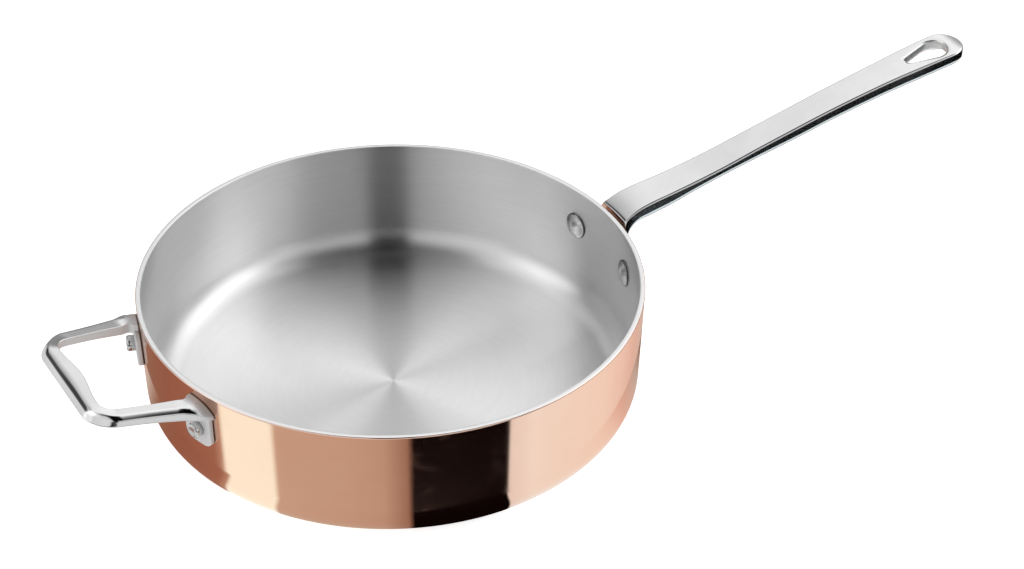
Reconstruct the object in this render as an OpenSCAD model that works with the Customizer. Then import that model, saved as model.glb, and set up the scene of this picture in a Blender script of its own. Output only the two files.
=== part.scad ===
// Saute pan: a straight-sided clad pan with a long handle and a helper handle, both riveted on.
// The origin is the centre of the base's underside, +Z is up and +X runs along the long handle.

/* [Pan] */
// Inner diameter of the pan at the rim
pan_d = 260; // [220:1:320]
// Height of the pan from the underside of the base to the rim
pan_h = 68; // [60:1:90]
// Outer radius of the turn from wall to base
corner_r = 16.5; // [10:0.5:22]
// How far the wall leans out between the turn and the rim
wall_lean = 2.3; // [0.2:0.1:4]

/* [Clad layers] */
// Thickness of the copper skin outside
copper_t = 0.5; // [0.3:0.1:1]
// Thickness of the aluminium core
core_t = 1.8; // [1:0.1:3]
// Thickness of the steel lining
lining_t = 0.5; // [0.3:0.1:1]

/* [Long handle] */
// Length of the handle from the rim to its tip
handle_l = 224.7; // [180:0.5:280]
// Height of the handle's tip above the rim
handle_rise = 46; // [20:1:80]
// Width of the handle in its middle
handle_w = 19.6; // [16:0.2:22]
// Thickness of the handle in its middle
handle_t = 8; // [6:0.2:10]
// Width of the rounded tip
tip_w = 24; // [20:0.5:28]
// Depth of the hollow along the underside
hollow_depth = 3.2; // [0.5:0.1:3.6]
// Width of the two edges beside the hollow
hollow_edge_w = 3.6; // [3:0.2:5]
// Width of the plate that is riveted to the wall
plate_w = 74; // [70:1:90]
// Height of the plate
plate_h = 24; // [22:1:30]
// Thickness of the plate
plate_t = 3; // [2:0.5:5]
// Distance from each rivet to the plate's end
plate_end_margin = 10.3; // [9:0.1:12]

/* [Hang hole] */
// Length of the hang hole in the tip
hole_l = 26; // [20:1:36]
// Width of the hole's round outer end
hole_w = 15.4; // [10:0.2:16]
// Width of the hole's narrow inner end
hole_neck_w = 7; // [4:0.5:9]
// Metal left between the hole and the tip
hole_margin = 10.4; // [7:0.2:12]

/* [Helper handle] */
// Reach of the loop from the rim
loop_reach = 51.2; // [40:0.2:65]
// Width of the loop's bar
loop_w = 9; // [7:0.5:12]
// Thickness of the loop's bar
loop_t = 5.6; // [4:0.2:10]
// Outer radius of the loop's two corners
loop_corner_r = 17; // [13:1:20]
// How much wider the grip is in its middle
grip_swell = 3; // [0:0.5:8]
// Depth of the bar's top below the rim at the wall
loop_drop = 4.6; // [1:0.1:8]
// Rise of the loop from the wall to the grip
loop_rise = 6.3; // [0:0.1:12]
// Distance between the two rivets
foot_rivet_gap = 80.2; // [76:0.2:96]
// Distance from each rivet out to the middle of its leg
leg_out = 1.3; // [0:0.1:3]
// How far each leg of the loop draws in on its way out
leg_draw = 5.5; // [0:0.5:8]
// Width of each foot plate
foot_w = 18.6; // [16:0.2:24]
// Height of each foot plate
foot_h = 24; // [22:1:28]
// Thickness of each foot plate
foot_t = 3; // [2:0.5:6]

/* [Rivets] */
// Depth of all four rivets below the rim
rivet_drop = 21.3; // [18:0.1:26]
// Distance from the rivets down to the lower edge of their plates
rivet_margin = 10; // [8:0.5:11]
// Diameter of the rivet shanks
rivet_d = 6; // [4:0.5:7]
// Diameter of the rivet heads inside the pan
head_d = 14.8; // [11:0.5:18]
// Height of the rivet heads
head_h = 2.8; // [1.5:0.1:4]
// Diameter of the rivet ends outside
tail_d = 8.4; // [7.5:0.1:11]
// Height of the rivet ends
tail_h = 4.4; // [2:0.2:5]

/* [Hidden] */
$fn = 96;
// Facets round the pan
pan_facets = 288;
// Running room of a rivet shank in its holes
rivet_clearance = 0.05;
// Length by which a cut runs past what it cuts
overrun = 10;
// Corner radius of the plates
plate_corner_r = 5;
foot_corner_r = 5;
// Edge radius of the bars, on top and below
edge_r = 1.4;
under_r = 2.6;
// Steps in each quarter turn of a profile and of a bar's section
turn_steps = 16;
section_steps = 4;
hollow_steps = 8;
// Steps between two stations of a bar and of a leg, and round the tip
bar_steps = 4;
leg_steps = 2;
tip_steps = 9;
// Angle round the tip at which its last, flat facet stands
tip_turn = 80;
// How much of its thickness the tip loses on top and below
tip_draw_share = 0.25;
// Most of a section's width that its rounded corners may take
corner_share = 0.7;
// Power of the curve across the hollow
hollow_power = 4;
// How much of the rivet head's height is its crown, and of its end the chamfer
crown_share = 0.45;
chamfer_share = 0.3;

clad_t = copper_t + core_t + lining_t;
rim_r = pan_d / 2 + clad_t;
lean = atan(wall_lean / (pan_h - corner_r));
turn_x = rim_r - (pan_h - corner_r) * tan(lean) - corner_r / cos(lean);
rivet_z = pan_h - rivet_drop;
wall_r = rim_r - rivet_drop * tan(lean);
plate_rivet_angle = asin((plate_w / 2 - plate_end_margin) / rim_r);
foot_angle = asin(foot_rivet_gap / 2 / rim_r);
foot_x = rim_r * cos(foot_angle);
tip_r = tip_w / 2;
bar_l = handle_l - tip_r;
handle_end_x = rim_r + handle_l;

// Stations of the long handle from the rim to the start of its round tip. Each holds the place as a
// share of bar_l, the top as a share of handle_rise, the thickness as a share of handle_t, the width
// as a share of handle_w, the part taken of the step from handle_w to tip_w, and the hollow's depth
// as a share of hollow_depth.
handle_shares = [
    [-0.042, -0.300, 2.00, 1.75, 0, 0],
    [-0.011, -0.190, 2.05, 1.62, 0, 0],
    [0.012, -0.060, 1.86, 1.42, 0, 0],
    [0.029, 0.035, 1.42, 1.24, 0, 0],
    [0.052, 0.100, 1.16, 1.14, 0, 0],
    [0.093, 0.148, 1.08, 1.08, 0, 0],
    [0.158, 0.193, 1.01, 1.04, 0, 0],
    [0.224, 0.245, 0.84, 1.02, 0, 0.5],
    [0.311, 0.328, 0.77, 1.00, 0, 1],
    [0.414, 0.446, 0.88, 0.98, 0, 1],
    [0.528, 0.572, 0.99, 0.98, 0, 1],
    [0.644, 0.697, 1.00, 1.00, 0, 1],
    [0.798, 0.841, 1.02, 1.00, 0.27, 1],
    [0.919, 0.939, 1.00, 1.00, 0.76, 1],
    [1.000, 1.000, 0.97, 1.00, 1, 1]
];

// Stations of the loop's leg on its way out: the place as a share of the leg, the width as a share of
// loop_w and the thickness as a share of loop_t
leg_shares = [
    [-0.15, 1.9, 1.28],
    [0, 1.75, 1.28],
    [0.08, 1.45, 1.25],
    [0.2, 1.22, 1.2],
    [0.4, 1.1, 1.12],
    [0.7, 1, 1.03],
    [1, 1, 1]
];

// Outline of the skin that lies a given depth under the outer surface, from the axis up to a top
function skin(depth, top) = concat(
    [[0, depth]],
    [for (k = [0:turn_steps])
        let (a = -90 + k / turn_steps * (90 - lean), r = corner_r - depth)
        [turn_x + r * cos(a), corner_r + r * sin(a)]],
    [[rim_r - depth / cos(lean) - (pan_h - top) * tan(lean), top]]);

function reversed(list) = [for (k = [len(list) - 1:-1:0]) list[k]];

// Place on a smooth curve through the rows of a table, where u counts its rows
function curve(rows, u) =
    let (n = len(rows) - 1, i = min(floor(u), n - 1), f = u - i,
         a = rows[max(i - 1, 0)], b = rows[i], c = rows[i + 1], d = rows[min(i + 2, n)])
    (2 * b + (c - a) * f + (2 * a - 5 * b + 4 * c - d) * f * f + (3 * b - a - 3 * c + d) * f * f * f) / 2;

// Rounded section between two sides and between a low and a high level
function section(left, right, low, high) =
    let (most = corner_share * min(high - low, right - left) / 2,
         r_top = min(edge_r, most), r_low = min(under_r, most))
    [for (q = [0:3], k = [0:section_steps])
        let (a = 90 * (q + k / section_steps), r = q < 2 ? r_top : r_low)
        [(q == 0 || q == 3 ? right - r : left + r) + r * cos(a),
         (q < 2 ? high - r : low + r) + r * sin(a)]];

// Section of the long handle, with a hollow of a given depth along its underside
function hollow_section(half_w, low, high, depth) =
    let (outline = section(-half_w, half_w, low, high),
         g = max(half_w - hollow_edge_w, half_w * (1 - corner_share) / 2),
         deep = depth * min(1, g / hollow_edge_w), first = 3 * (section_steps + 1))
    concat(
        [for (k = [0:first - 1]) outline[k]],
        [for (k = [0:hollow_steps])
            let (f = 2 * k / hollow_steps - 1)
            [f * g, low + deep * (1 - pow(f, hollow_power))]],
        [for (k = [first:len(outline) - 1]) outline[k]]);

// Solid through a row of rings that all have as many points
module sweep(rings) {
    n = len(rings[0]);
    last = len(rings) - 1;
    sides = [for (i = [0:last - 1], k = [0:n - 1])
        let (a = i * n + k, b = i * n + (k + 1) % n) each [[a, a + n, b], [b, a + n, b + n]]];
    caps = [[for (k = [0:n - 1]) k], [for (k = [n - 1:-1:0]) last * n + k]];
    polyhedron(points = [for (ring = rings) each ring], faces = concat(sides, caps));
}

// Everything inside the skin at a given depth, up to a given top
module pan_space(depth, top) {
    rotate_extrude($fn = pan_facets) polygon(concat(skin(depth, top), [[0, top]]));
}

// One clad layer between two depths
module layer(from, to) {
    difference() {
        rotate_extrude($fn = pan_facets) polygon(concat(skin(from, pan_h), reversed(skin(to, pan_h))));
        rivet_holes();
    }
}

// Flat outline of a plate with rounded corners
module rounded_plate(w, h, r) {
    square([w - 2 * r, h], center = true);
    square([w, h - 2 * r], center = true);
    for (x = [-1, 1], y = [-1, 1]) translate([x * (w / 2 - r), y * (h / 2 - r)]) circle(r);
}

// Puts children at a height on the wall, with their +Z pointing out of the pan
module on_wall(angle, z) {
    rotate([0, 0, angle]) translate([0, 0, z]) rotate([0, 90, 0]) children();
}

// Plate that follows the wall outside it
module wall_plate(angle, w, h, t, r) {
    intersection() {
        pan_space(-t, pan_h + overrun);
        on_wall(angle, rivet_z - rivet_margin + h / 2)
            linear_extrude(rim_r + overrun) rotate([0, 0, 90]) rounded_plate(w, h, r);
    }
}

// Hole for the rivet at an angle round the pan
module rivet_hole(angle) {
    on_wall(angle, rivet_z) translate([0, 0, rim_r - 2 * overrun])
        cylinder(d = rivet_d + 2 * rivet_clearance, h = 4 * overrun);
}

module rivet_holes() {
    for (side = [-1, 1]) {
        rivet_hole(side * plate_rivet_angle);
        rivet_hole(180 + side * foot_angle);
    }
}

// Rivet through the wall and a plate of a given thickness
module rivet(angle, t) {
    inner_r = wall_r - clad_t;
    outer_r = wall_r + t;
    crown = head_h * crown_share;
    crown_r = (pow(head_d / 2, 2) + crown * crown) / (2 * crown);
    chamfer = tail_h * chamfer_share;
    on_wall(angle, rivet_z) translate([0, 0, inner_r - head_h / 2])
        cylinder(d = rivet_d, h = outer_r + tail_h / 2 - inner_r + head_h / 2);
    intersection() {
        pan_space(clad_t, pan_h);
        on_wall(angle, rivet_z) intersection() {
            translate([0, 0, inner_r - overrun]) cylinder(d = head_d, h = 2 * overrun);
            translate([0, 0, inner_r - head_h + crown_r]) sphere(crown_r);
        }
    }
    difference() {
        on_wall(angle, rivet_z) rotate_extrude() polygon([
            [0, wall_r],
            [tail_d / 2, wall_r],
            [tail_d / 2, outer_r + tail_h - chamfer],
            [tail_d / 2 - chamfer, outer_r + tail_h],
            [0, outer_r + tail_h]
        ]);
        pan_space(-t, pan_h + overrun);
    }
}

// Bar of the long handle, from inside the wall to the tip
module handle_bar() {
    last = len(handle_shares) - 1;
    body = [for (k = [0:last * bar_steps])
        let (s = curve(handle_shares, k / bar_steps), high = pan_h + s[1] * handle_rise,
             w = s[3] * handle_w + s[4] * (tip_w - handle_w))
        [rim_r + s[0] * bar_l, w / 2, high - s[2] * handle_t, high, s[5] * hollow_depth]];
    end = body[len(body) - 1];
    tip = [for (k = [1:tip_steps])
        let (a = tip_turn * k / tip_steps, draw = (end[3] - end[2]) * (1 - cos(a)) * tip_draw_share)
        [end[0] + tip_r * sin(a) / sin(tip_turn), end[1] * cos(a), end[2] + draw, end[3] - draw, end[4]]];
    sweep([for (s = concat(body, tip))
        [for (p = hollow_section(s[1], s[2], s[3], s[4])) [s[0], p[0], p[1]]]]);
}

// Teardrop hole, square to the top of the handle's end
module hang_hole() {
    big_r = hole_w / 2;
    small_r = hole_neck_w / 2;
    span = hole_l - big_r - small_r;
    lift = asin((big_r - small_r) / span);
    last = len(handle_shares) - 1;
    step = handle_shares[last] - handle_shares[last - 1];
    slope = atan(step[1] * handle_rise / (step[0] * bar_l));
    translate([handle_end_x - hole_margin - big_r, 0, pan_h + handle_rise]) rotate([0, -slope, 0])
        translate([0, 0, -handle_t - overrun]) linear_extrude(handle_t + 2 * overrun) {
            circle(big_r);
            translate([-span, 0]) circle(small_r);
            polygon([
                [-big_r * sin(lift), big_r * cos(lift)],
                [-span - small_r * sin(lift), small_r * cos(lift)],
                [-span - small_r * sin(lift), -small_r * cos(lift)],
                [-big_r * sin(lift), -big_r * cos(lift)]
            ]);
        }
}

// Loop of the helper handle, without its plates. Each station of its middle line holds the place,
// the heading, the half widths on the inside and the outside, and the thickness.
module loop_bar() {
    out = loop_reach + rim_r - foot_x;
    turn = 90 - atan(leg_draw / out);
    mid_r = loop_corner_r - loop_w / 2;
    grip_x = rim_r + loop_reach - loop_w / 2;
    leg_end_x = grip_x - mid_r * (1 - cos(turn));
    foot_y = foot_rivet_gap / 2 + leg_out;
    leg_end_y = foot_y - (leg_end_x - foot_x) / tan(turn);
    leg = [for (k = [0:(len(leg_shares) - 1) * leg_steps])
        let (s = curve(leg_shares, k / leg_steps), x = foot_x + s[0] * (leg_end_x - foot_x))
        [x, foot_y - (x - foot_x) / tan(turn), turn, s[1] * loop_w / 2, s[1] * loop_w / 2, s[2] * loop_t]];
    corner_c = [grip_x - mid_r, leg_end_y - mid_r * sin(turn)];
    corner = [for (k = [1:turn_steps / 2])
        let (a = turn * (1 - 2 * k / turn_steps))
        [corner_c[0] + mid_r * cos(a), corner_c[1] + mid_r * sin(a), a, loop_w / 2, loop_w / 2, loop_t]];
    grip = [for (k = [1:turn_steps / 2])
        let (f = 2 * k / turn_steps)
        [grip_x, corner_c[1] * (1 - f), 0, loop_w / 2,
         loop_w / 2 + grip_swell * (1 - cos(180 * f)) / 2, loop_t]];
    half = concat(leg, corner, grip);
    other = [for (k = [len(half) - 2:-1:0]) let (s = half[k]) [s[0], -s[1], -s[2], s[3], s[4], s[5]]];
    sweep([for (s = concat(half, other))
        let (high = pan_h - loop_drop + loop_rise * (s[0] - foot_x) / out)
        [for (p = section(-s[4], s[3], high - s[5], high))
            [s[0] + p[0] * cos(s[2]), s[1] + p[0] * sin(s[2]), p[1]]]]);
}

module copper_shell() {
    color("peru") layer(0, copper_t);
}

module aluminium_core() {
    color("silver") layer(copper_t, copper_t + core_t);
}

module steel_lining() {
    color("lightgray") layer(copper_t + core_t, clad_t);
}

module long_handle() {
    color("gainsboro") difference() {
        union() {
            wall_plate(0, plate_w, plate_h, plate_t, plate_corner_r);
            handle_bar();
        }
        pan_space(0, pan_h + overrun);
        rivet_holes();
        hang_hole();
    }
}

module helper_handle() {
    color("gainsboro") difference() {
        union() {
            for (side = [-1, 1])
                wall_plate(180 + side * foot_angle, foot_w, foot_h, foot_t, foot_corner_r);
            rotate([0, 0, 180]) loop_bar();
        }
        pan_space(0, pan_h + overrun);
        rivet_holes();
    }
}

module long_handle_rivet(side) {
    color("whitesmoke") rivet(side * plate_rivet_angle, plate_t);
}

module helper_handle_rivet(side) {
    color("whitesmoke") rivet(180 + side * foot_angle, foot_t);
}

copper_shell();
aluminium_core();
steel_lining();
long_handle();
helper_handle();
long_handle_rivet(1);  // long_handle_rivet_left
long_handle_rivet(-1);  // long_handle_rivet_right
helper_handle_rivet(1);  // helper_handle_rivet_left
helper_handle_rivet(-1);  // helper_handle_rivet_right
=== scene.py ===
"""A straight-sided clad saute pan: copper outside, brushed steel inside, two riveted cast handles."""

import math

import bmesh
import bpy
import numpy as np
from mathutils import Matrix, Vector


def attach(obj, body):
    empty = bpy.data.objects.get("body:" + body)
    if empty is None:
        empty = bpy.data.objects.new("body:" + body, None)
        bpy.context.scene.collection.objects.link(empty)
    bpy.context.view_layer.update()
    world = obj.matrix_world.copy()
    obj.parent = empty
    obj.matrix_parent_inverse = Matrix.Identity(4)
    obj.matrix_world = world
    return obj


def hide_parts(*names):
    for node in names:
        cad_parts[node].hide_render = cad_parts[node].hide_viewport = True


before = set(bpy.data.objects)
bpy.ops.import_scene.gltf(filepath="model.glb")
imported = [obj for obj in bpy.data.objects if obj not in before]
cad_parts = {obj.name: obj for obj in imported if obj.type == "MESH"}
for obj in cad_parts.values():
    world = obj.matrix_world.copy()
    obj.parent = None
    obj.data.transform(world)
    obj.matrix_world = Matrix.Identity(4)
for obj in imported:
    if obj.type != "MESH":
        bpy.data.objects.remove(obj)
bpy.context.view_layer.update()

# Copper shell. The outer skin of the clad pan: one copper sheet pressed with the layers inside it
# and polished to a mirror on a turning wheel, which leaves the faintest lines round the pan.
# Its shape follows a rule: flat base, turn, straight wall, all turned about the pan's axis.
pan_height = 0.068
rim_radius = 0.1328
turn_radius = 0.0165
wall_run = 0.0023
wall_lean = math.atan(wall_run / (pan_height - turn_radius))
base_radius = rim_radius - wall_run - turn_radius / math.cos(wall_lean)
copper_thickness, copper_edge, sharp_edge = 0.0005, 0.00045, 0.00001
copper_colour = (0.95, 0.60, 0.46, 1)


class Wire:
    """An output socket that ordinary arithmetic turns into Math nodes."""

    def __init__(self, bench, socket):
        self.bench = bench
        self.socket = socket

    def __add__(self, other):
        return self.bench.maths("ADD", self, other)

    def __radd__(self, other):
        return self.bench.maths("ADD", other, self)

    def __sub__(self, other):
        return self.bench.maths("SUBTRACT", self, other)

    def __rsub__(self, other):
        return self.bench.maths("SUBTRACT", other, self)

    def __mul__(self, other):
        return self.bench.maths("MULTIPLY", self, other)

    def __rmul__(self, other):
        return self.bench.maths("MULTIPLY", other, self)

    def __truediv__(self, other):
        return self.bench.maths("DIVIDE", self, other)

    def __rtruediv__(self, other):
        return self.bench.maths("DIVIDE", other, self)

    def __pow__(self, other):
        return self.bench.maths("POWER", self, other)

    def __gt__(self, other):
        return self.bench.maths("GREATER_THAN", self, other)

    def within(self, low, high):
        """Grows from 0 to 1 between two bounds, and stays there outside them."""
        return self.bench.add("ShaderNodeMapRange", {}, {0: self, 1: low, 2: high})

    def eased(self, low, high):
        """As within, with a soft start and end."""
        settings = {"interpolation_type": "SMOOTHSTEP"}
        return self.bench.add("ShaderNodeMapRange", settings, {0: self, 1: low, 2: high})


class Bench:
    """Wires the nodes of one tree."""

    def __init__(self, tree):
        self.tree = tree

    def add(self, kind, settings=None, sockets=None, out=0):
        """Adds a node, sets it up, feeds its sockets and hands back one of its outputs."""
        node = self.tree.nodes.new(kind)
        for name, value in (settings or {}).items():
            if name == "stops":
                ramp = node.color_ramp.elements
                ramp[0].position, ramp[0].color = value[0]
                ramp[1].position, ramp[1].color = value[-1]
                for place, colour in value[1:-1]:
                    ramp.new(place).color = colour
            else:
                setattr(node, name, value)
        for name, value in (sockets or {}).items():
            if isinstance(value, Wire):
                self.tree.links.new(value.socket, node.inputs[name])
            else:
                node.inputs[name].default_value = value
        return Wire(self, node.outputs[out])

    def maths(self, operation, *values):
        return self.add("ShaderNodeMath", {"operation": operation}, dict(enumerate(values)))

    def mixed(self, amount, low, high):
        """A colour between two colours."""
        return self.add("ShaderNodeMix", {"data_type": "RGBA"}, {0: amount, 6: low, 7: high}, 2)

    def split(self, vector):
        """The three numbers of a vector."""
        node = self.add("ShaderNodeSeparateXYZ", {}, {0: vector}).socket.node
        return [Wire(self, socket) for socket in node.outputs]

    def joined(self, x, y, z):
        """A vector of three numbers."""
        return self.add("ShaderNodeCombineXYZ", {}, {0: x, 1: y, 2: z})


def new_tree(name, sizes):
    """A Geometry Nodes tree with named inputs, and its bench and input wires."""
    tree = bpy.data.node_groups.new(name, "GeometryNodeTree")
    for label, kind in sizes.items():
        tree.interface.new_socket(label, in_out="INPUT", socket_type="NodeSocket" + kind)
    tree.interface.new_socket("Geometry", in_out="OUTPUT", socket_type="NodeSocketGeometry")
    bench = Bench(tree)
    node = tree.nodes.new("NodeGroupInput")
    return tree, bench, {label: Wire(bench, node.outputs[label]) for label in sizes}


def finish_tree(bench, geometry, metal):
    """Ends a tree in Realize Instances and Set Material, with smooth faces."""
    smooth = bench.add("GeometryNodeSetShadeSmooth", {}, {"Geometry": geometry})
    real = bench.add("GeometryNodeRealizeInstances", {}, {"Geometry": smooth})
    done = bench.add("GeometryNodeSetMaterial", {}, {"Geometry": real, "Material": metal})
    bench.tree.links.new(done.socket, bench.tree.nodes.new("NodeGroupOutput").inputs[0])


def from_tree(name, tree, values, start=None):
    """A plain mesh object made by a tree from its named inputs."""
    host = bpy.data.objects.new(name + "_host", start or bpy.data.meshes.new(name + "_host"))
    bpy.context.scene.collection.objects.link(host)
    modifier = host.modifiers.new("Build", "NODES")
    modifier.node_group = tree
    for item in tree.interface.items_tree:
        if item.item_type == "SOCKET" and item.in_out == "INPUT" and item.name in values:
            modifier[item.identifier] = values[item.name]
    seen = host.evaluated_get(bpy.context.evaluated_depsgraph_get())
    mesh = bpy.data.meshes.new_from_object(seen)
    mesh.name = name
    bpy.data.objects.remove(host)
    piece = bpy.data.objects.new(name, mesh)
    bpy.context.scene.collection.objects.link(piece)
    shape = bmesh.new()
    shape.from_mesh(mesh)
    bmesh.ops.remove_doubles(shape, verts=shape.verts, dist=1e-6)
    bmesh.ops.dissolve_degenerate(shape, edges=shape.edges, dist=1e-7)
    bmesh.ops.recalc_face_normals(shape, faces=shape.faces)
    shape.to_mesh(mesh)
    shape.free()
    return piece


def new_metal(name):
    """A material with its bench, its shader node and the place on the piece."""
    material = bpy.data.materials.new(name)
    material.use_nodes = True
    bench = Bench(material.node_tree)
    shader = material.node_tree.nodes["Principled BSDF"]
    shader.inputs["Metallic"].default_value = 1
    place = bench.add("ShaderNodeTexCoord", {}, {}, "Object")
    return material, bench, shader, place


def feed(bench, shader, sockets):
    """Links or sets the sockets of a shader node."""
    for name, value in sockets.items():
        if isinstance(value, Wire):
            bench.tree.links.new(value.socket, shader.inputs[name])
        else:
            shader.inputs[name].default_value = value


def turned_lines(bench, place, across, around):
    """Fine noise drawn out round the pan's axis, as a turning wheel leaves it."""
    x, y, z = bench.split(place)
    radius = (x * x + y * y + 1e-9) ** 0.5
    along = bench.joined(x / radius * around, y / radius * around, (radius + z) * across)
    return bench.add("ShaderNodeTexNoise", {}, {"Vector": along, "Scale": 1, "Detail": 4})


polished_copper, bench, shader, place = new_metal("polished_copper")
lines = turned_lines(bench, place, 2600, 7)
bloom = bench.add("ShaderNodeTexNoise", {}, {"Vector": place, "Scale": 26, "Detail": 3})
wipe = bench.add("ShaderNodeTexNoise", {}, {"Vector": place, "Scale": 90, "Detail": 5})
warmth = bench.mixed(bloom.eased(0.35, 0.7), copper_colour, (0.93, 0.575, 0.435, 1))
cut_edge = bench.split(place)[2].within(pan_height - 0.0006, pan_height - 0.0003)
warmth = bench.mixed(cut_edge * 0.75, warmth, (0.80, 0.74, 0.71, 1))
relief = bench.add("ShaderNodeBump", {}, {"Strength": 0.02, "Distance": 0.0001, "Height": lines})
feed(bench, shader, {
    "Base Color": warmth,
    "Roughness": 0.045 + 0.03 * lines + 0.035 * wipe.eased(0.5, 0.75),
    "Normal": relief,
})

# The tree that turns a ply: a grid whose one side runs round the pan's axis and whose other side
# runs up the outside of the ply, over its cut edge and down the inside.
turned_ply, bench, size = new_tree("Turned ply", {
    "Base radius": "Float", "Turn radius": "Float", "Height": "Float", "Lean": "Float",
    "Outer depth": "Float", "Inner depth": "Float", "Outer edge": "Float", "Inner edge": "Float",
    "Steps round": "Int", "Metal": "Material",
})
floor_steps, turn_steps, wall_steps, edge_steps, top_steps = 8, 28, 6, 6, 2
side_steps = floor_steps + turn_steps + wall_steps
all_steps = 2 * side_steps + 2 * edge_steps + top_steps
grid = bench.add("GeometryNodeMeshGrid", {}, {
    "Size X": 1, "Size Y": 1, "Vertices X": size["Steps round"], "Vertices Y": all_steps + 1,
})
u, v, _ = bench.split(bench.add("GeometryNodeInputPosition"))
angle = (u + 0.5) * (2 * math.pi)
step = (v + 0.5) * all_steps
sine = bench.maths("SINE", size["Lean"])
cosine = bench.maths("COSINE", size["Lean"])


def ply_side(count, depth, edge):
    """Radius and height on one side of the ply, a number of steps from the centre of its floor."""
    swing = count.within(floor_steps, floor_steps + turn_steps) * (math.pi / 2 - size["Lean"])
    bend = size["Turn radius"] - depth
    start = size["Turn radius"] - bend * sine
    first, last = floor_steps + turn_steps, side_steps
    short_steps = count.within(first, first + 1) + count.within(last - 1, last)
    climb = 0.01 * short_steps + 0.98 * count.within(first + 1, last - 1)
    rise = climb * (size["Height"] - edge - start)
    run = 0.99 * count.within(0, floor_steps - 1) + 0.01 * count.within(floor_steps - 1, floor_steps)
    out = run * size["Base radius"] + bend * bench.maths("SINE", swing)
    up = depth + bend * (1 - bench.maths("COSINE", swing))
    return out + rise * sine / cosine, up + rise


outside = ply_side(step, size["Outer depth"], size["Outer edge"])
inside = ply_side(all_steps - step, size["Inner depth"], size["Inner edge"])
is_inside = step > side_steps + edge_steps + top_steps / 2
first_turn = step.within(side_steps, side_steps + edge_steps) * (math.pi / 2)
last_turn = (all_steps - step).within(side_steps, side_steps + edge_steps) * (math.pi / 2)
radius = (
    (outside[0] - size["Outer edge"] * (1 - bench.maths("COSINE", first_turn))) * (1 - is_inside)
    + (inside[0] + size["Inner edge"] * (1 - bench.maths("COSINE", last_turn))) * is_inside
)
height = (
    (outside[1] + size["Outer edge"] * bench.maths("SINE", first_turn)) * (1 - is_inside)
    + (inside[1] + size["Inner edge"] * bench.maths("SINE", last_turn)) * is_inside
)
spot = bench.joined(radius * bench.maths("COSINE", angle), radius * bench.maths("SINE", angle), height)
turned = bench.add("GeometryNodeSetPosition", {}, {"Geometry": grid, "Position": spot})
finish_tree(bench, turned, size["Metal"])


def ply(name, node, metal, depths, edges):
    """One clad layer between two depths, turned and set in place of its node."""
    piece = from_tree(name, turned_ply, {
        "Base radius": base_radius, "Turn radius": turn_radius, "Height": pan_height,
        "Lean": wall_lean, "Outer depth": depths[0], "Inner depth": depths[1],
        "Outer edge": edges[0], "Inner edge": edges[1], "Steps round": 321, "Metal": metal,
    })
    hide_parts(node)
    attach(piece, "root")


ply(
    "copper_skin", "copper_shell", polished_copper,
    (0, copper_thickness), (copper_edge, sharp_edge),
)

# Aluminium core. The thick middle ply spreads the heat. Only its cut edge shows, ground flush and
# bright between the two skins all round the rim.
core_thickness = 0.0018
ground_aluminium, bench, shader, place = new_metal("ground_aluminium")
lines = turned_lines(bench, place, 9000, 30)
relief = bench.add("ShaderNodeBump", {}, {"Strength": 0.1, "Distance": 0.0001, "Height": lines})
feed(bench, shader, {
    "Base Color": bench.mixed(lines.eased(0.3, 0.7), (0.88, 0.88, 0.88, 1), (0.93, 0.93, 0.93, 1)),
    "Roughness": 0.26 + 0.1 * lines,
    "Normal": relief,
})
core_depth = copper_thickness + core_thickness
ply(
    "core_ply", "aluminium_core", ground_aluminium,
    (copper_thickness, core_depth), (sharp_edge, sharp_edge),
)

# Steel lining. The cooking surface: stainless steel bonded to the core, then brushed on the turning
# pan, so its grain runs in circles and every highlight is drawn out across the grain.
lining_thickness, lining_edge = 0.0005, 0.0003
brushed_steel, bench, shader, place = new_metal("brushed_steel")
lines = turned_lines(bench, place, 2400, 9)
strokes = turned_lines(bench, place, 420, 3)
cloud = bench.add("ShaderNodeTexNoise", {}, {"Vector": place, "Scale": 14, "Detail": 3})
relief = bench.add("ShaderNodeBump", {}, {"Strength": 0.05, "Distance": 0.0001, "Height": lines})
grain = lines.eased(0.25, 0.75) * 0.6 + strokes.eased(0.3, 0.7) * 0.4
feed(bench, shader, {
    "Base Color": bench.mixed(grain, (0.77, 0.77, 0.77, 1), (0.82, 0.82, 0.82, 1)),
    "Roughness": 0.26 + 0.03 * lines + 0.02 * strokes + 0.02 * cloud,
    "Anisotropic": 1,
    "Anisotropic Rotation": 0.25,
    "Normal": relief,
})
clad_thickness = core_depth + lining_thickness
ply(
    "lining_ply", "steel_lining", brushed_steel,
    (core_depth, clad_thickness), (sharp_edge, lining_edge),
)

# Long handle. One stainless casting, ground and polished: a curved plate on the wall, a neck that
# scoops up out of it, a flat bar with crisp edges and a hollow underside, and a round end with a
# teardrop hole to hang it by. Two rivets hold its plate.
MM = 0.001
rim_x, rim_z = rim_radius / MM, pan_height / MM
rivet_height = 46.7
plate_half_w, plate_low, plate_high, plate_thickness = 37, 36.7, 60.7, 3
plate_corner, back_edge, face_edge, seat_gap = 5, 0.6, 0.8, 0.01
root_half_w, root_low, root_high = 17.5, 44.5, 59.6
bar_length, bar_rise, bar_width, bar_hollow, tip_radius = 212.7, 46, 19.6, 3.2, 12
bar_thickness, underside_drop = 8, 0.9
tip_climb, tip_droop, tip_height, tip_slope = 0.125, 0.009, 112.55, 7.6
hole_length, hole_half_w, hole_neck, hole_margin, lip = 26, 7.7, 3.5, 10.4, 1.3
hole_x = rim_x + bar_length + tip_radius - hole_margin - hole_half_w
hole_span = hole_length - hole_half_w - hole_neck
corner_steps, side_count, flat_count = 7, 4, 20


def wall_at(z, lift):
    """Radius of the pan's outside at a height, plus a lift off it, in millimetres."""
    return rim_x - (rim_z - z) * math.tan(wall_lean) + lift


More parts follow.
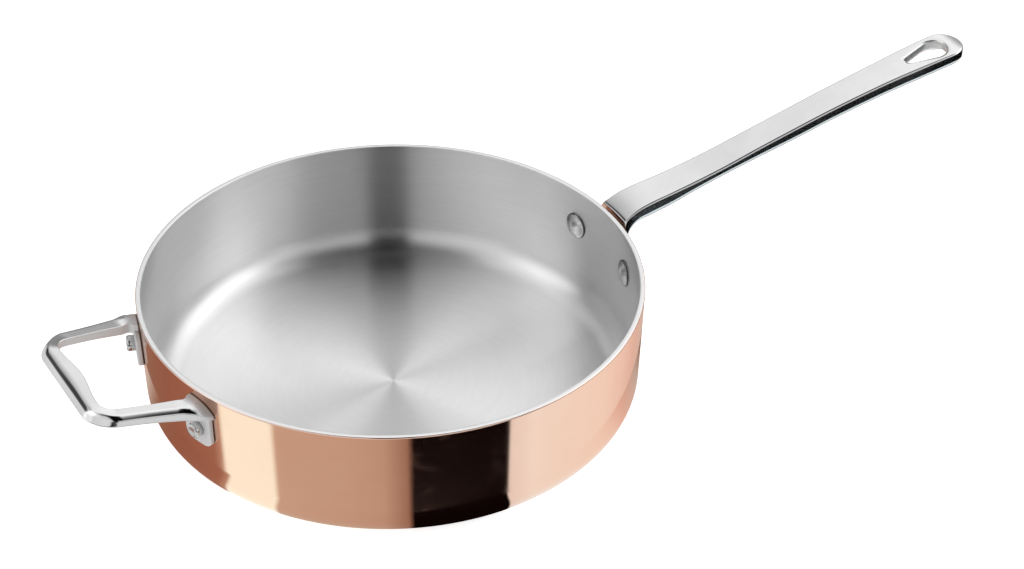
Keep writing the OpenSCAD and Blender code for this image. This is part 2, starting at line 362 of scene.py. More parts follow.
def section(left, right, low, high, top_r, low_r, hollow=0, edge=3.6, left_r=None):
    """Ring of points (across, up) round a bar: rounded corners, flat top, hollow underneath."""
    ring = []
    left_r = left_r or low_r
    corners = [
        (right - top_r, high - top_r, top_r, 0, flat_count),
        (left + top_r, high - top_r, top_r, 90, side_count),
        (left + left_r, low + left_r, left_r, 180, flat_count),
        (right - low_r, low + low_r, low_r, 270, side_count),
    ]
    for index, (x, z, r, start, count) in enumerate(corners):
        for k in range(corner_steps + 1):
            a = math.radians(start + 90 * k / corner_steps)
            ring.append([x + r * math.cos(a), z + r * math.sin(a)])
        x2, z2, r2, start2, _ = corners[(index + 1) % 4]
        a2 = math.radians(start2)
        here, there = np.array(ring[-1]), np.array([x2 + r2 * math.cos(a2), z2 + r2 * math.sin(a2)])
        for k in range(1, count):
            f = (1 - math.cos(math.pi * k / count)) / 2
            p = here * (1 - f) + there * f
            if index == 2 and hollow:
                reach = max(right - left - 2 * edge, 0.6 * (right - left - 2 * low_r)) / 2
                off = abs(p[0] - (left + right) / 2) / reach
                p = p + [0, hollow * min(1, reach / edge) * max(0, 1 - off**4)]
            ring.append(list(p))
    return np.array(ring)


def smooth_rows(rows, steps):
    """Rows of a table with a number of steps between each two, on a smooth curve."""
    rows = np.array(rows, float)
    last = len(rows) - 1
    out = []
    for u in np.arange(0, last + 1e-9, 1 / steps):
        i = min(int(u + 1e-9), last - 1)
        f = u - i
        a, b, c, d = rows[max(i - 1, 0)], rows[i], rows[i + 1], rows[min(i + 2, last)]
        slope, bow, twist = c - a, 2 * a - 5 * b + 4 * c - d, 3 * b - a - 3 * c + d
        out.append((2 * b + slope * f + bow * f**2 + twist * f**3) / 2)
    return out


def plate_rings(angle, half_w, low, high, thickness):
    """Rings over a plate on the wall, from the middle of its back round its edges to its face.

    Also hands back the outline of its face, and how to lay a flat ring on the wall there.
    """

    def on_wall(ring, lift):
        rho = wall_at(ring[:, 1], lift)
        turn = angle + ring[:, 0] / wall_at(rivet_height, 0)
        return np.stack([rho * np.cos(turn), rho * np.sin(turn), ring[:, 1]], 1)

    def outline(inset):
        corner = plate_corner - inset
        return section(-half_w + inset, half_w - inset, low + inset, high - inset, corner, corner)

    back, middle = outline(back_edge), np.array([0, (low + high) / 2])
    rings = [on_wall(middle + (back - middle) * f, seat_gap) for f in (0.02, 0.3, 0.6, 0.85)]
    for a in np.radians((0, 30, 60, 90)):
        lift = seat_gap + back_edge * (1 - math.cos(a))
        rings.append(on_wall(outline(back_edge * (1 - math.sin(a))), lift))
    for a in np.radians((0, 18, 36, 54, 72, 90)):
        lift = thickness - face_edge + face_edge * math.sin(a)
        rings.append(on_wall(outline(face_edge * (1 - math.cos(a))), lift))
    return rings, outline(face_edge), on_wall


def skin_rings(shape, rings):
    """Faces between one ring and the next."""
    rows = [[shape.verts.new(Vector(p) * MM) for p in ring] for ring in rings]
    for near, far in zip(rows, rows[1:]):
        n = len(near)
        for k in range(n):
            shape.faces.new((near[k], near[(k + 1) % n], far[(k + 1) % n], far[k]))
    return rows


def finish_shape(name, shape, metal, sharp=40):
    """A smooth mesh object from a shape, with its doubles merged and its faces outwards."""
    bmesh.ops.remove_doubles(shape, verts=shape.verts, dist=2e-6)
    bmesh.ops.dissolve_degenerate(shape, edges=shape.edges, dist=1e-7)
    bmesh.ops.recalc_face_normals(shape, faces=shape.faces)
    for edge in shape.edges:
        edge.smooth = not edge.is_manifold or edge.calc_face_angle(0) < math.radians(sharp)
    for face in shape.faces:
        face.smooth = True
    mesh = bpy.data.meshes.new(name)
    shape.to_mesh(mesh)
    shape.free()
    mesh.materials.append(metal)
    piece = bpy.data.objects.new(name, mesh)
    bpy.context.scene.collection.objects.link(piece)
    return piece


cast_steel, bench, shader, place = new_metal("polished_cast_steel")
swirl = bench.add("ShaderNodeTexNoise", {}, {"Vector": place, "Scale": 55, "Detail": 4})
x, y, z = bench.split(place)
scratch = bench.add("ShaderNodeTexNoise", {}, {
    "Vector": bench.joined(x * 90, y * 2600, z * 2600), "Scale": 1, "Detail": 3,
})
pits = bench.add("ShaderNodeTexNoise", {}, {"Vector": place, "Scale": 1500, "Detail": 2})
relief = bench.add("ShaderNodeBump", {}, {
    "Strength": 0.06, "Distance": 0.0002, "Height": swirl * 0.6 + scratch * 0.2 + pits.eased(0.6, 0.8) * 0.2,
})
radius = (x * x + y * y) ** 0.5

# Most of a casting is polished. The plates, the hole's wall, the loop's inner side and its feet keep the
# satin of the grinding belt, and painted shade darkens the colour in a thin line where a casting meets the
# pan.
plates = (1 - radius.eased(0.1366, 0.1376)) * (1 - z.eased(0.0545, 0.0565))
inward = (hole_x * MM - x).within(0, hole_span * MM)
from_axis = ((x - hole_x * MM + hole_span * MM * inward) ** 2 + y * y) ** 0.5
hole_wall = 1 - (from_axis - (hole_half_w - (hole_half_w - hole_neck) * inward) * MM).eased(0.0003, 0.0006)
facing = bench.split(bench.add("ShaderNodeTexCoord", {}, {}, "Normal"))
inner_side = (facing[1] * bench.maths("SIGN", y) * -1).eased(0.45, 0.7) * (x * -1 - 0.128).eased(0, 0.001)
foot_zone = (1 - radius.eased(0.1360, 0.1405)) * (x * -1 > 0.1)
ground = bench.maths("MAXIMUM", foot_zone, inner_side)
satin = bench.maths("MAXIMUM", bench.maths("MAXIMUM", plates, hole_wall), ground)
steel = bench.mixed(swirl.eased(0.3, 0.7), (0.74, 0.74, 0.745, 1), (0.79, 0.79, 0.79, 1))
# Painted shade: the colour goes nearly black within a millimetre of the pan's wall, standing in for the
# shadow in the joint.
painted_seam_shade = 1 - (radius + (pan_height - z) * math.tan(wall_lean) - rim_radius).eased(0.0004, 0.0008)
steel = bench.mixed(ground * 0.8, steel, (0.56, 0.56, 0.565, 1))
feed(bench, shader, {
    "Base Color": bench.mixed(painted_seam_shade * 0.9, steel, (0.07, 0.045, 0.03, 1)),
    "Metallic": 1 - 0.75 * ground,
    "Roughness": (0.09 + 0.04 * swirl + 0.04 * scratch.eased(0.5, 0.8)) * (1 - satin) + 0.42 * satin,
    "Normal": relief,
})

rings, face, on_wall = plate_rings(0, plate_half_w, plate_low, plate_high, plate_thickness)
neck_rows = [
    # x and height of the top, x and height of the underside, half width, top and low edge radius,
    # hollow, share of the wall's curve
    [3.05, root_high, 3.05, root_low, 17.0, 2.4, 4.0, 0, 1.0],
    [2.6, 62.0, 3.3, 48.6, 15.2, 2.0, 3.6, 0, 1.0],
    [2.2, 65.2, 3.8, 52.8, 13.5, 1.6, 3.2, 0, 0.95],
    [2.7, 68.0, 4.8, 57.0, 12.2, 1.2, 3.0, 0, 0.85],
    [4.9, 69.9, 7.0, 61.0, 11.3, 1.0, 2.8, 0, 0.5],
    [11.1, 72.8, 11.6, 64.6, 10.9, 1.0, 2.6, 0, 0.1],
]
bar_rows = [
    # place along the bar, top, thickness, width, share of the step to the tip's width, hollow
    [0.093, 0.148, 1.08, 1.08, 0, 0],
    [0.158, 0.193, 1.01, 1.04, 0, 0],
    [0.224, 0.245, 0.84, 1.02, 0, 0.5],
    [0.311, 0.328, 0.77, 1.00, 0, 1],
    [0.414, 0.446, 0.88, 0.98, 0, 1],
    [0.528, 0.572, 0.99, 0.98, 0, 1],
    [0.644, 0.697, 1.00, 1.00, 0, 1],
    [0.798, 0.841, 1.02, 1.00, 0.27, 1],
    [0.919, 0.937, 1.00, 1.00, 0.76, 1],
    [1.000, 0.990, 0.94, 1.00, 1, 1],
]
for along, top, thick, width, step_share, hollow in bar_rows:
    x = along * bar_length
    z = rim_z + top * bar_rise
    half = (width * bar_width + step_share * (2 * tip_radius - bar_width)) / 2
    underside = z - thick * bar_thickness - underside_drop
    neck_rows.append([x, z, x, underside, half, 1.2, 3.6, hollow * bar_hollow, 0])
root = section(-root_half_w, root_half_w, root_low, root_high, 1.4, 4.0)
for f in (0.35, 0.7):
    rings.append(on_wall(face * (1 - f) + root * f, plate_thickness))
for row in smooth_rows(neck_rows, 8):
    x_top, z_top, x_low, z_low, half, top_r, low_r, hollow, curve = row
    ring = section(-half, half, z_low, z_top, top_r, low_r, max(hollow, 0))
    share = (ring[:, 1] - z_low) / (z_top - z_low)
    across = ring[:, 0]
    rings.append(np.stack([
        rim_x + x_low + (x_top - x_low) * share
        - curve * (across**2 / (2 * rim_x) + (rim_z - ring[:, 1]) * math.tan(wall_lean)),
        across, ring[:, 1],
    ], 1))
shape = bmesh.new()
rows = skin_rings(shape, rings)
shape.faces.new(rows[0][::-1])

# The round end turns the half section of the bar's last ring about an upright axis.
end_ring = rings[-1]
end_x = end_ring[0, 0]
top_middle = corner_steps + flat_count // 2
low_middle = 3 * corner_steps + flat_count + side_count + flat_count // 2
order = list(range(top_middle, -1, -1)) + list(range(len(end_ring) - 1, low_middle - 1, -1))
half_section = end_ring[order]
end_turns = 28
end_rows = []
for k in range(end_turns + 1):
    a = math.pi * k / end_turns
    row = []
    for _, across, z in half_section:
        d = across * math.sin(a)
        height = z + tip_climb * d - tip_droop * d * d
        row.append(shape.verts.new(Vector((end_x + d, across * math.cos(a), height)) * MM))
    end_rows.append(row)
for near, far in zip(end_rows, end_rows[1:]):
    for k in range(len(near) - 1):
        shape.faces.new((near[k], near[k + 1], far[k + 1], far[k]))
long_handle = finish_shape("long_handle_casting", shape, cast_steel)

# The hang hole is cut through the end with a rounded lip.
flank = math.asin((hole_half_w - hole_neck) / hole_span)


def teardrop(offset):
    """Outline of the hole, grown by an offset, round its two ends."""
    points = []
    for centre, r, first, last, count in (
        (0, hole_half_w, -math.pi / 2 - flank, math.pi / 2 + flank, 36),
        (-hole_span, hole_neck, math.pi / 2 + flank, 3 * math.pi / 2 - flank, 20),
    ):
        for k in range(count + 1):
            a = first + (last - first) * k / count
            points.append((centre + (r + offset) * math.cos(a), (r + offset) * math.sin(a)))
    return points


# Each level is a height off the end's top and how far the hole has opened there.
levels = [(-12, 5.5), (-6.6, 1.6), (-5.6, 0.6), (-4.8, 0.12), (-4.2, 0), (-lip, 0)]
levels += [(-lip + lip * math.sin(a), lip * (1 - math.cos(a))) for a in np.radians((15, 30, 45, 60, 72, 82))]
levels += [(levels[-1][0] + 0.5, levels[-1][1] + 3.0)]
cutter = bmesh.new()
tilt = Matrix.Translation((hole_x, 0, tip_height)) @ Matrix.Rotation(math.radians(-tip_slope), 4, "Y")
cut_rows = skin_rings(cutter, [[tilt @ Vector((x, y, h)) for x, y in teardrop(grow)] for h, grow in levels])
cutter.faces.new(cut_rows[0][::-1])
cutter.faces.new(cut_rows[-1])
hole_cutter = finish_shape("hole_cutter", cutter, cast_steel)


def carved(piece, tool, operation):
    """A new shape from a piece and a tool that cuts it or joins it. Both are used up."""
    cut = piece.modifiers.new("Carve", "BOOLEAN")
    cut.operation, cut.solver, cut.object = operation, "EXACT", tool
    seen = piece.evaluated_get(bpy.context.evaluated_depsgraph_get())
    shape = bmesh.new()
    shape.from_mesh(bpy.data.meshes.new_from_object(seen))
    bpy.data.objects.remove(piece)
    bpy.data.objects.remove(tool)
    return shape


shape = carved(long_handle, hole_cutter, "DIFFERENCE")
long_handle = finish_shape("long_handle_casting", shape, cast_steel, 35)
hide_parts("long_handle")
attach(long_handle, "root")

# Helper handle. The second casting: a loop with a foot on the wall at each end and a grip that
# swells towards the pan. One rivet goes through each foot, below the loop's bar.
reach, bar_w, bar_t, swell = 51.2, 9, 5.7, 3
rivet_gap, leg_out, draw_in = 80.2, 1.3, 5.5
loop_rise, loop_drop, level_run = 6.3, 4.6, 10
foot_angle = math.asin(rivet_gap / 2 / rim_x)
foot_x = rim_x * math.cos(foot_angle)
foot_y = rivet_gap / 2 + leg_out
out = reach + rim_x - foot_x
turn = math.pi / 2 - math.atan(draw_in / out)
corner_outside = 17
corner_r = corner_outside - bar_w / 2
grip_x = rim_x + reach - bar_w / 2
leg_end_x = grip_x - corner_r * (1 - math.cos(turn))
leg_end_y = foot_y - (leg_end_x - foot_x) / math.tan(turn)
foot_half_w, foot_low, foot_high, foot_thickness = 9.3, 36.7, 59.6, 3
foot_turn = 0.0075
ridge_r, outer_low_r, inner_low_r = 0.45, 1.6, 2.6

# The bar's top falls away to a ridge: how far, from where across, how bent, and the side's lean.
arch_fall, arch_bend, arch_run = 5.5, 3, 0.18
leg_fall, leg_flat, leg_bend, leg_lean = 1.8, 3, 1.25, 0.4
grip_fall, grip_flat, grip_bend, grip_lean = 2.1, 6, 2, 2.2
leg_stations = smooth_rows([
    # share of the way out, and shares of the bar's width and thickness
    [-0.15, 1.9, 1.34], [0, 1.75, 1.32], [0.08, 1.45, 1.26], [0.2, 1.22, 1.2],
    [0.4, 1.1, 1.12], [0.7, 1, 1.03], [1, 1, 1],
], 12)


def bar_section(outer, inner, thickness, fall, start, bend, lean):
    """Ring (across, up from its top) of the bar, with the ridge and the lean of its outer side."""
    ring = section(-inner, outer, -thickness, 0, ridge_r, outer_low_r, left_r=inner_low_r)
    level = (ring[:, 1] + thickness) / thickness
    off = np.clip((ring[:, 0] - start) / (outer - start), 0, 1)
    return ring - np.stack([lean * level * off, fall * level * off**bend], 1)


def in_place(ring, x, y, heading):
    """The ring set upright across the loop at a place on its middle line."""
    high = rim_z - loop_drop + loop_rise * max(0, x - foot_x - level_run) / (out - level_run)
    return np.stack([
        x + ring[:, 0] * math.cos(heading), y + ring[:, 0] * math.sin(heading), ring[:, 1] + high,
    ], 1)


def leg_section(share):
    """The leg's ring at a share of its way out. At the wall its top is an arch that falls outwards."""
    places, widths, thicknesses = np.array(leg_stations).T
    half = np.interp(share, places, widths) * bar_w / 2
    level = min(1, max(0, share) / arch_run)
    level = level * level * (3 - 2 * level)
    fall = arch_fall + (leg_fall - arch_fall) * level
    start = -half + (2 * half - leg_flat) * level
    bend = arch_bend + (leg_bend - arch_bend) * level
    thickness = np.interp(share, places, thicknesses) * bar_t
    return bar_section(half, half, thickness, fall, start, bend, leg_lean)


def leg_ring(share):
    """The leg's ring, in place, at a share of its way out."""
    x = foot_x + share * (leg_end_x - foot_x)
    return in_place(leg_section(share), x, foot_y - (x - foot_x) / math.tan(turn), turn)


foot_rings, face, on_wall = plate_rings(
    foot_angle - foot_turn, foot_half_w, foot_low, foot_high, foot_thickness,
)
middle = np.array([0, (foot_low + foot_high) / 2])
for f in (0.8, 0.5, 0.02):
    foot_rings.append(on_wall(middle + (face - middle) * f, foot_thickness))

# Each leg starts on the wall's curve and turns into the loop's own rings over the run past its foot.
rings = []
leaving_run, leg_rings, leg_start = 8, 25, 0.31
for lift in (0.03, 1.5, 3.0, 3.5, 4.2, 5.2, 6.4, 7.8, 9.4, 11.0):
    share = lift / (leg_end_x - foot_x)
    flare = 0.12 * math.exp(-max(0, lift - foot_thickness))
    at_wall = leg_section(share * 0.5) * [1 + flare, 1 + 0.5 * flare] + [leg_out + 1, rim_z - loop_drop]
    away = min(1, max(0, lift - foot_thickness) / leaving_run)
    away = away * away * (3 - 2 * away)
    rings.append(on_wall(at_wall, lift) * (1 - away) + leg_ring(share) * away)
for share in np.linspace(leg_start, 1, leg_rings):
    rings.append(leg_ring(share))
corner_y = leg_end_y - corner_r * math.sin(turn)
corner_rings, grip_rings, corner_swell = 18, 20, 0.6
for k in range(1, corner_rings + 1):
    f = k / corner_rings
    a = turn * (1 - f)
    inner = bar_w / 2 + corner_swell * f
    fall = leg_fall + (grip_fall - leg_fall) * f
    start = bar_w / 2 - leg_flat + (leg_flat - grip_flat) * f
    bend = leg_bend + (grip_bend - leg_bend) * f
    lean = leg_lean + (grip_lean - leg_lean) * min(1, f / 0.35)
    ring = bar_section(bar_w / 2, inner, bar_t, fall, start, bend, lean)
    rings.append(in_place(
        ring, grip_x - corner_r + corner_r * math.cos(a), corner_y + corner_r * math.sin(a), a,
    ))
for k in range(1, grip_rings + 1):
    f = k / grip_rings
    bulge = (1 - math.cos(math.pi * f)) / 2
    inner = bar_w / 2 + corner_swell + (swell - corner_swell) * bulge
    start = bar_w / 2 - grip_flat - bulge
    lean = grip_lean + 0.3 * bulge
    ring = bar_section(bar_w / 2, inner, bar_t, grip_fall + 0.1 * bulge, start, grip_bend, lean)
    rings.append(in_place(ring, grip_x, corner_y * (1 - f), 0))
foot_shape, shape = bmesh.new(), bmesh.new()
for side in (1, -1):
    rows = skin_rings(foot_shape, [np.array(ring) * [-1, -side, 1] for ring in foot_rings])
    foot_shape.faces.new(rows[0])
    foot_shape.faces.new(rows[-1][::-1])
    rows = skin_rings(shape, [np.array(ring) * [-1, -side, 1] for ring in rings])
    shape.faces.new(rows[0])
feet = finish_shape("feet", foot_shape, cast_steel)
loop = finish_shape("loop", shape, cast_steel)
helper_handle = finish_shape("helper_handle_casting", carved(loop, feet, "UNION"), cast_steel)
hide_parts("helper_handle")
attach(helper_handle, "root")

# Rivets. Four solid stainless rivets, all alike: a low domed head inside the pan, a shank through
# the wall and the plate, and an end closed over outside by the press.
head_d, head_h, tail_d, tail_h, shank_d = 14.8, 2.8, 8.4, 4.4, 6
head_edge, crown, tail_edge, dimple_r, dimple = 0.9, 1.7, 1.1, 1.6, 0.3
head_sink, tail_sink, shoulder = 0.6, 0.4, 0.2
plate_rivet_gap = 53.4
plate_angle = math.asin(plate_rivet_gap / 2 / rim_x)
satin_steel, bench, shader, place = new_metal("satin_steel")
marks = bench.add("ShaderNodeTexNoise", {}, {"Vector": place, "Scale": 700, "Detail": 4})
dents = bench.add("ShaderNodeTexNoise", {}, {"Vector": place, "Scale": 260, "Detail": 2})
relief = bench.add("ShaderNodeBump", {}, {
    "Strength": 0.12, "Distance": 0.0002, "Height": dents * 0.7 + marks * 0.3,
})
x, y, z = bench.split(place)
radius = (x * x + y * y) ** 0.5
bearing = bench.maths("ARCTAN2", bench.maths("ABSOLUTE", y), bench.maths("ABSOLUTE", x))
seat = plate_angle + (foot_angle - plate_angle) * (x * -1 > 0)
off_axis = (((bearing - seat) * radius) ** 2 + (z - rivet_height * MM) ** 2) ** 0.5
# Painted shade: the outer rim of each head darkens towards black, standing in for the shadow where the head
# meets the wall.
painted_seam_shade = off_axis.eased((head_d / 2 - 0.8) * MM, (head_d / 2 - 0.2) * MM)
steel = bench.mixed(marks.eased(0.3, 0.7), (0.60, 0.60, 0.60, 1), (0.74, 0.74, 0.74, 1))
feed(bench, shader, {
    "Base Color": bench.mixed(painted_seam_shade * 0.85, steel, (0.05, 0.05, 0.05, 1)),
    "Roughness": 0.11 + 0.09 * marks,
    "Normal": relief,
})
wall_radius = wall_at(rivet_height, 0)
inner_face = wall_radius - clad_thickness / MM
outer_face = wall_radius + plate_thickness
dome_r = head_d / 2 - head_edge
profile = [(inner_face - head_h + crown * (r / dome_r) ** 2, r) for r in np.linspace(0, dome_r, 9)]
edge_at = profile[-1][0]
for a in np.radians((25, 50, 75, 90)):
    profile.append((edge_at + head_edge * (1 - math.cos(a)), dome_r + head_edge * math.sin(a)))
profile += [(inner_face + head_sink, head_d / 2), (inner_face + head_sink + shoulder, shank_d / 2)]
profile += [(outer_face - tail_sink - shoulder, shank_d / 2), (outer_face - tail_sink, tail_d / 2)]
tail_at = outer_face + tail_h - tail_edge
profile += [(tail_at, tail_d / 2)]
for a in np.radians((30, 60, 90)):
    profile.append((tail_at + tail_edge * math.sin(a), tail_d / 2 - tail_edge * (1 - math.cos(a))))
profile += [(outer_face + tail_h - dimple + 0.05, dimple_r), (outer_face + tail_h - dimple, 0)]
outline = bpy.data.meshes.new("rivet_profile")
points = [(x * MM, r * MM, 0) for x, r in profile]
outline.from_pydata(points, [(k, k + 1) for k in range(len(points) - 1)], [])

turned_rivets, bench, size = new_tree("Turned rivets", {
    "Profile": "Geometry", "Steps round": "Int", "Height": "Float", "Plate angle": "Float",
    "Foot angle": "Float", "Metal": "Material",
})
domain = {"component": "MESH"}
count = bench.add("GeometryNodeAttributeDomainSize", domain, {0: size["Profile"]}, "Point Count")
grid = bench.add("GeometryNodeMeshGrid", {}, {
    "Size X": 1, "Size Y": 1, "Vertices X": size["Steps round"], "Vertices Y": count,
})
u, v, _ = bench.split(bench.add("GeometryNodeInputPosition"))
index = bench.maths("ROUND", (v + 0.5) * (count - 1))
sample = bench.add("GeometryNodeSampleIndex", {"data_type": "FLOAT_VECTOR"}, {
    "Geometry": size["Profile"], "Value": bench.add("GeometryNodeInputPosition"), "Index": index,
})
along, off, _ = bench.split(sample)
angle = (u + 0.5) * (2 * math.pi)
across, up = off * bench.maths("COSINE", angle), size["Height"] + off * bench.maths("SINE", angle)
spot = bench.joined(along, across, up)
rivet = bench.add("GeometryNodeSetPosition", {}, {"Geometry": grid, "Position": spot})
seats = bench.add("GeometryNodeMeshLine", {}, {"Count": 4, "Start Location": (0, 0, 0), "Offset": (0, 0, 0)})
number = bench.add("GeometryNodeInputIndex")
side = (number - 2 * bench.maths("FLOOR", number / 2)) * 2 - 1
at_foot = number > 1.5
heading = at_foot * math.pi + side * (size["Plate angle"] * (1 - at_foot) + size["Foot angle"] * at_foot)
placed = bench.add("GeometryNodeInstanceOnPoints", {}, {
    "Points": seats, "Instance": rivet, "Rotation": bench.joined(0, 0, heading),
})
finish_tree(bench, placed, size["Metal"])
rivets = from_tree("rivets", turned_rivets, {
    "Steps round": 65, "Height": rivet_height * MM, "Plate angle": plate_angle,
    "Foot angle": foot_angle, "Metal": satin_steel,
}, outline)
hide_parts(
    "long_handle_rivet_left", "long_handle_rivet_right",
    "helper_handle_rivet_left", "helper_handle_rivet_right",
)
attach(rivets, "root")

# Studio. A white sweep to stand on, soft white light from all round with a dark gap where the
# camera stands, and low cards in warm, black and pale tones that the copper mirrors.
handle_turn = math.radians(28.76)
floor_mesh = bpy.data.meshes.new("studio_floor")
floor_half = 6
corners = [(floor_half * x, floor_half * y, 0) for x, y in ((-1, -1), (1, -1), (1, 1), (-1, 1))]
floor_mesh.from_pydata(corners, [], [(0, 1, 2, 3)])
studio_floor = bpy.data.objects.new("studio_floor", floor_mesh)
bpy.context.scene.collection.objects.link(studio_floor)
white_paper = bpy.data.materials.new("white_paper")
white_paper.use_nodes = True
feed(Bench(white_paper.node_tree), white_paper.node_tree.nodes["Principled BSDF"], {
    "Base Color": (0.93, 0.93, 0.93, 1), "Roughness": 0.9, "Specular IOR Level": 0.1,
    "Emission Color": (1, 1, 1, 1), "Emission Strength": 0.8,
})
floor_mesh.materials.append(white_paper)
studio_floor.visible_glossy = False

world = bpy.data.worlds.new("studio_light")
bpy.context.scene.world = world
world.use_nodes = True
world.node_tree.nodes.clear()
bench = Bench(world.node_tree)
x, y, z = bench.split(bench.add("ShaderNodeTexCoord", {}, {}, "Generated"))
azimuth = bench.maths("ARCTAN2", y, x) * (180 / math.pi) + (math.degrees(handle_turn) + 90)
azimuth = bench.maths("WRAP", azimuth, 180, -180)
elevation = bench.maths("ARCSINE", z) * (180 / math.pi)
off_camera = bench.maths("WRAP", azimuth - 2.9, 180, -180)


def ring_of_light(stops, most):
    """Grey light round the horizon, from a list of angles off the camera and brightnesses."""
    ramp = [((a + 180) / 360, (v / most, v / most, v / most, 1)) for a, v in stops]
    ring = bench.add("ShaderNodeValToRGB", {"stops": ramp}, {0: (off_camera + 180) / 360})
    return bench.split(ring)[0] * most


# What the copper mirrors lies low round it: warm cards, with a cream one to the camera's left, a
# black one a little to its right and a pale one beyond that.
cards = [
    (-180, (0.55, 0.46, 0.40)), (-158, (0.30, 0.16, 0.11)), (-125, (0.31, 0.15, 0.105)),
    (-92, (0.36, 0.19, 0.14)), (-87, (0.50, 0.36, 0.28)),
    (-85, (1.05, 1.30, 1.26)), (-57, (1.05, 1.31, 1.27)),
    (-55.5, (0.60, 0.53, 0.45)), (-20, (0.57, 0.49, 0.42)), (-3, (0.53, 0.44, 0.37)),
    (9, (0.33, 0.22, 0.17)), (10.5, (0.004, 0.002, 0.002)), (58, (0.004, 0.002, 0.002)),
    (59, (0.86, 0.98, 1.03)), (72, (0.95, 1.12, 1.18)), (84, (0.94, 1.06, 1.09)),
    (118, (0.93, 0.94, 0.90)), (136, (0.87, 0.77, 0.71)), (150, (0.78, 0.58, 0.50)),
    (180, (0.55, 0.46, 0.40)),
]
card_most = 1.4
card_stops = [((a + 180) / 360, (r / card_most, g / card_most, b / card_most, 1)) for a, (r, g, b) in cards]
low_cards = bench.add("ShaderNodeValToRGB", {"stops": card_stops}, {0: (azimuth + 180) / 360})
low_light = bench.add("ShaderNodeVectorMath", {"operation": "SCALE"}, {0: low_cards, "Scale": card_most})

# What the upright sides of the handles mirror: pale floor, with a black flag under the long handle.
flag = azimuth.eased(56, 57.5) * (1 - azimuth.eased(140, 150))
pale = 0.80 - 0.797 * flag
near_light = bench.joined(pale, pale, pale)
streak = azimuth.eased(117, 119) * (1 - azimuth.eased(125, 127))
steep = 0.72 + 0.2 * azimuth.eased(126, 130) - 0.66 * streak
steep_light = bench.joined(steep, steep, steep)

# The softboxes: rings of light at four heights, dark overhead and behind the camera.
rings_of_light = [
    (None, [
        (-180, 0.36), (-140, 0.38), (-104, 0.5), (-96, 1.0), (-60, 0.9), (-20, 0.84), (-9.5, 0.72),
        (-8, 0.02), (8, 0.02), (9.5, 0.7), (18, 0.78), (55, 1.1), (85, 1.55), (116, 1.5),
        (134, 0.85), (180, 0.36),
    ]),
    (12, [
        (-180, 0.28), (-145, 0.3), (-135, 0.02), (-104, 0.1), (-97, 1.35), (-72, 1.2), (-60, 0.8),
        (-20, 0.88), (-9.5, 0.7), (-8, 0), (8, 0), (9.5, 0.7), (13, 0.82), (40, 0.82), (68, 1.2),
        (74, 1.8), (98, 1.8), (116, 1.45), (134, 0.75), (180, 0.28),
    ]),
    (30, [
        (-180, 1.05), (-140, 0.7), (-125, 0.45), (-103, 0.7), (-97, 1.6), (-72, 1.5), (-60, 0.95),
        (-30, 0.78), (-12, 0.57), (-10, 0), (10, 0), (12, 0.48), (45, 0.5), (66, 0.8), (74, 1.9),
        (130, 1.7), (180, 1.05),
    ]),
    (50, [
        (-180, 1.05), (-110, 1.05), (-85, 0.78), (-50, 0.34), (-20, 0.08), (-10, 0), (62, 0),
        (85, 0.56), (120, 1.08), (180, 1.05),
    ]),
]
for level_at, stops in rings_of_light:
    ring = ring_of_light(stops, 2)
    sky = ring if level_at is None else sky + (ring - sky) * elevation.eased(level_at - 3, level_at + 3)

# On the camera's left the light comes down to the horizon. Elsewhere it fades just above it.
left = azimuth.eased(-150, -140) * (1 - azimuth.eased(-70, -60))
dim = (0.08 + 0.92 * elevation.eased(1, 6)) * (1 - left) + left
sky = sky * (1 - 0.9 * elevation.eased(68, 74)) * dim + 0.4 * left * (1 - elevation.eased(3, 9))

# The cards end where the copper's lowest mirror view ends, a little differently on every side.
card_tops = [
    (-180, -35.9), (-146, -36.4), (-122, -37.6), (-90, -38.7), (0, -39.3), (48, -39.3),
    (64, -36.5), (87, -35.5), (108, -34.8), (124, -34.3), (145, -33.9), (180, -35.9),
]
lowest, spread = 40, 10
edge = [((a + 180) / 360, ((top + lowest) / spread,) * 3 + (1,)) for a, top in card_tops]
card_edge = bench.add("ShaderNodeValToRGB", {"stops": edge}, {0: (azimuth + 180) / 360})
card_top = bench.split(card_edge)[0] * spread - lowest
below = bench.mixed((elevation - card_top).eased(-0.4, 0.4), low_light, near_light)
below = bench.mixed(elevation.eased(-46.5, -45.5), steep_light, below)
shadow = 1 - 0.92 * elevation.eased(-16, -9) * (1 - left)
below = bench.add("ShaderNodeVectorMath", {"operation": "SCALE"}, {0: below, "Scale": shadow})
light = bench.mixed(elevation.eased(-3, 1), below, bench.joined(sky, sky, sky))
glow = bench.add("ShaderNodeBackground", {}, {"Color": light, "Strength": 1})
world.node_tree.links.new(glow.socket, world.node_tree.nodes.new("ShaderNodeOutputWorld").inputs[0])

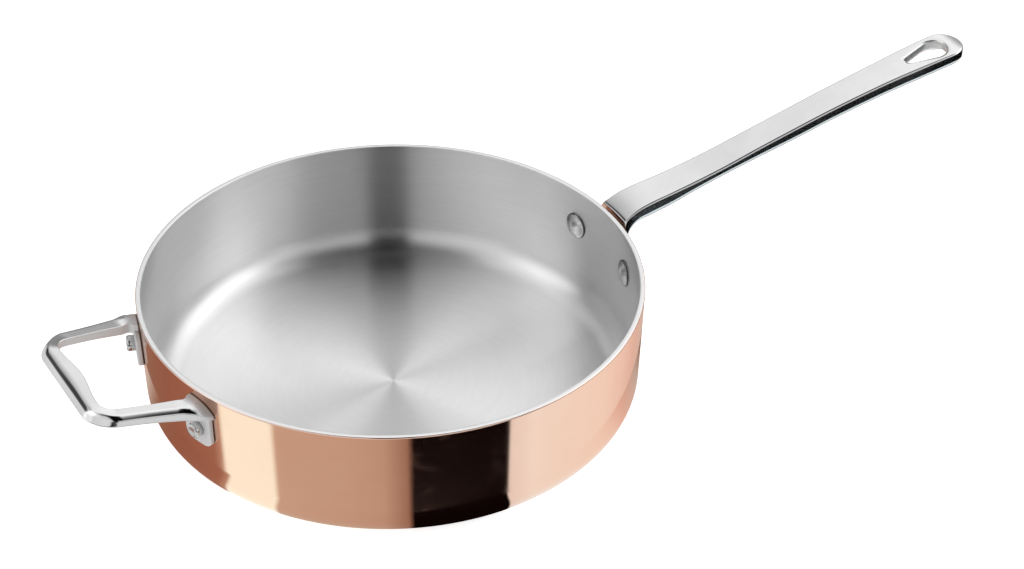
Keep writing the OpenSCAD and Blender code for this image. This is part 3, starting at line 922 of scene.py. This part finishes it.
# The same cards go on under the floor, where only the copper's turn to the base mirrors them. They
# are bent to the place that the turn mirrors, so each edge runs straight down to the base.
band_mesh = bpy.data.meshes.new("turn_cards")
band_low, band_inside, band_outside = -0.001, 0.098, 0.150
spots = []
for a in np.radians(np.arange(0, 360, 3)):
    spots += [(r * math.cos(a), r * math.sin(a), band_low) for r in (band_inside, band_outside)]
n = len(spots)
band_mesh.from_pydata(spots, [], [(k, k + 1, (k + 3) % n, (k + 2) % n) for k in range(0, n, 2)])
card_band = bpy.data.objects.new("turn_cards", band_mesh)
bpy.context.scene.collection.objects.link(card_band)
card_paper = bpy.data.materials.new("card_paper")
card_paper.use_nodes = True
bench = Bench(card_paper.node_tree)
x, y, _ = bench.split(bench.add("ShaderNodeTexCoord", {}, {}, "Object"))
radius = (x * x + y * y) ** 0.5
around = bench.maths("ARCTAN2", y, x) + (handle_turn + math.pi / 2)
around = bench.maths("WRAP", around, math.pi, -math.pi)
around = around - (0.041 + 1.82 * (radius - 0.119)) * bench.maths("SINE", around * 1.1 - 0.06)
faced = (around * 2 - 0.056 + 0.114 * bench.maths("SINE", around)) * (180 / math.pi)
faced = bench.maths("WRAP", faced, 180, -180)
card_light = bench.add("ShaderNodeValToRGB", {"stops": card_stops}, {0: (faced + 180) / 360})
shade = card_most * (0.4 + 0.6 * radius.eased(0.110, 0.122))
shaded = bench.add("ShaderNodeVectorMath", {"operation": "SCALE"}, {0: card_light, "Scale": shade})
feed(bench, card_paper.node_tree.nodes["Principled BSDF"], {
    "Base Color": (0, 0, 0, 1), "Roughness": 1, "Specular IOR Level": 0,
    "Emission Color": shaded, "Emission Strength": 1,
})
band_mesh.materials.append(card_paper)

# The camera looks from the photograph's angle. Its lens is given by the focal length in pixels.
pitch, roll, distance = math.radians(35.191), math.radians(0.187), 1.5790
shift_right, shift_up = 0.063355, 0.053609
forward = Vector((0, math.cos(pitch), -math.sin(pitch)))
upward = Vector((0, math.sin(pitch), math.cos(pitch)))
level = Vector((1, 0, 0))
right = level * math.cos(roll) + upward * math.sin(roll)
top = upward * math.cos(roll) - level * math.sin(roll)
place = -forward * distance + right * shift_right + top * shift_up
turned = Matrix.Rotation(-handle_turn, 4, "Z")
camera_data = bpy.data.cameras.new("camera")
camera = bpy.data.objects.new("camera", camera_data)
bpy.context.scene.collection.objects.link(camera)
film_width, image_width, focal_pixels = 36, 1024, 2952.4
camera_data.sensor_width = film_width
camera_data.sensor_fit = "HORIZONTAL"
camera_data.lens = focal_pixels / image_width * film_width
camera_data.clip_start, camera_data.clip_end = 0.05, 50
stand = Matrix((right, top, -forward)).transposed().to_4x4()
stand.translation = place
camera.matrix_world = turned @ stand
bpy.context.scene.camera = camera
bpy.context.scene.view_settings.view_transform = "Standard"
